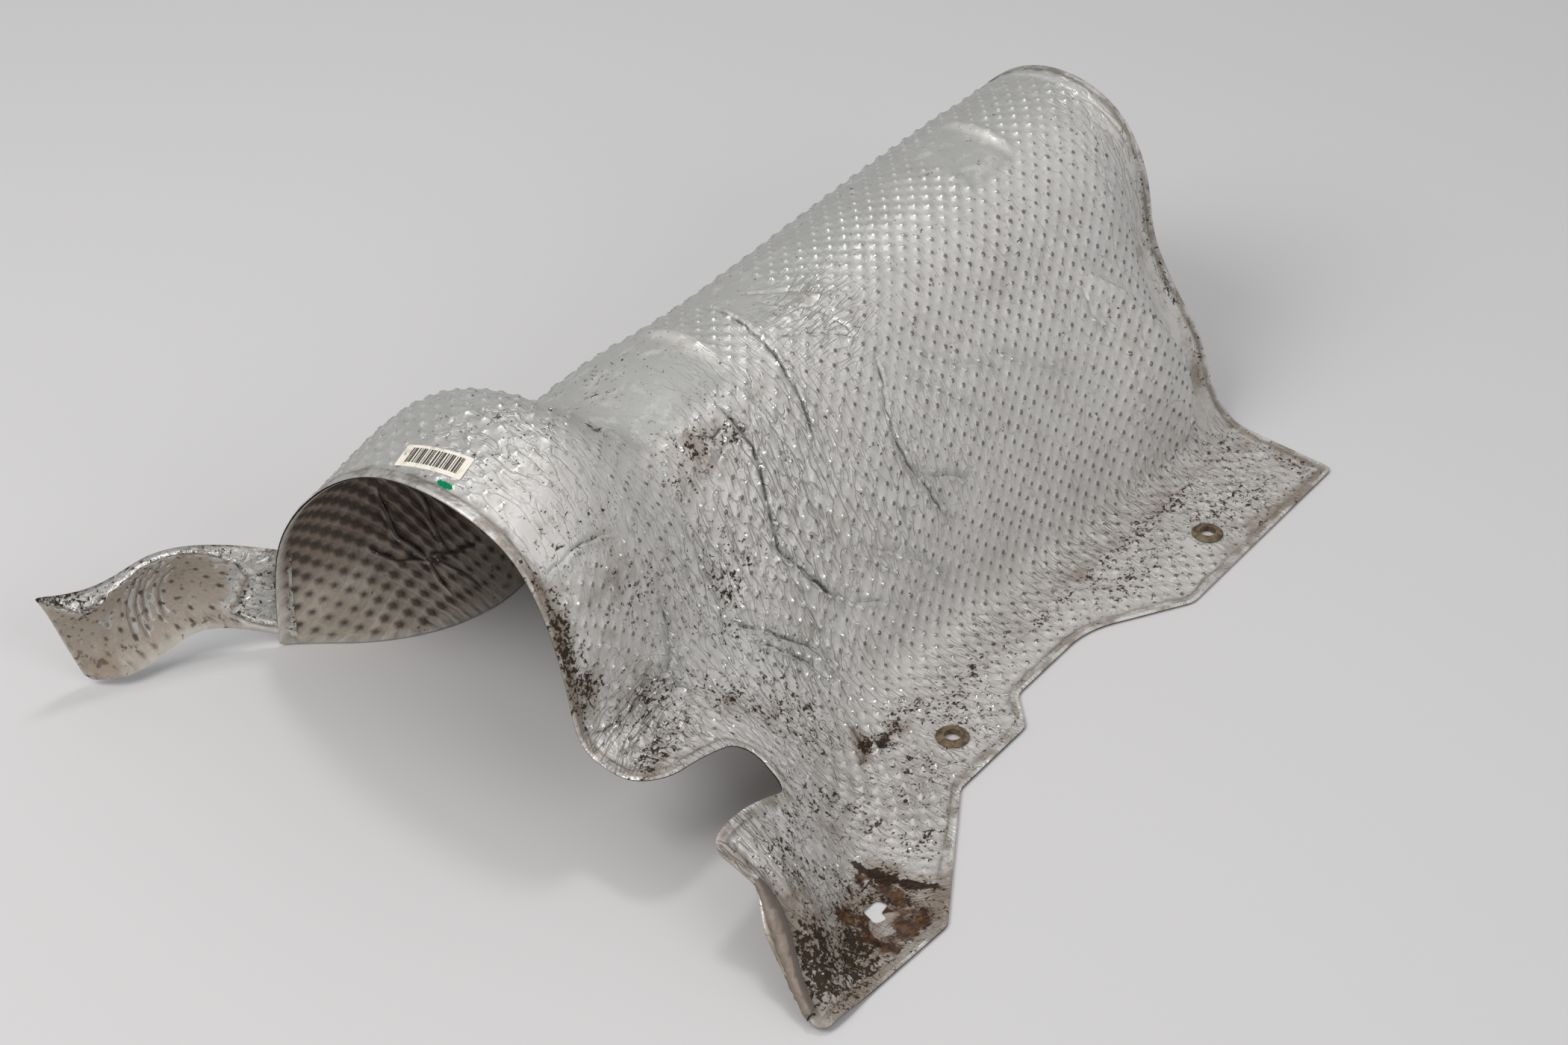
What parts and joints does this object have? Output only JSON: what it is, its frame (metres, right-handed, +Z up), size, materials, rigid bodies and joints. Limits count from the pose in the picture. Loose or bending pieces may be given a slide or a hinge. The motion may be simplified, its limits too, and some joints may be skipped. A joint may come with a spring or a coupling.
{
  "type": "heat shield",
  "caption": "Pressed sheet heat shield: a long arched tunnel with a flared mouth, a side flange with fixing holes, a notched skirt and a strap that reaches forward.",
  "frame": {"origin": "on the floor, under the middle of the box around the shield", "axes": "+X along the tunnel towards its rear rim, parallel to the line of the two sound flange holes; +Z up; the flange is on the -Y side"},
  "size_m": [0.6352, 0.4758, 0.1894],
  "materials": {
    "embossed_aluminium": "matte, weathered",
    "eyelet_steel": "dull, rust-stained",
    "label_film": "matte"
  },
  "bodies": {
    "root": {"shield_sheet": "embossed_aluminium", "eyelet_rear": "eyelet_steel", "eyelet_middle": "eyelet_steel", "label": "label_film"}
  },
  "joints": []
}
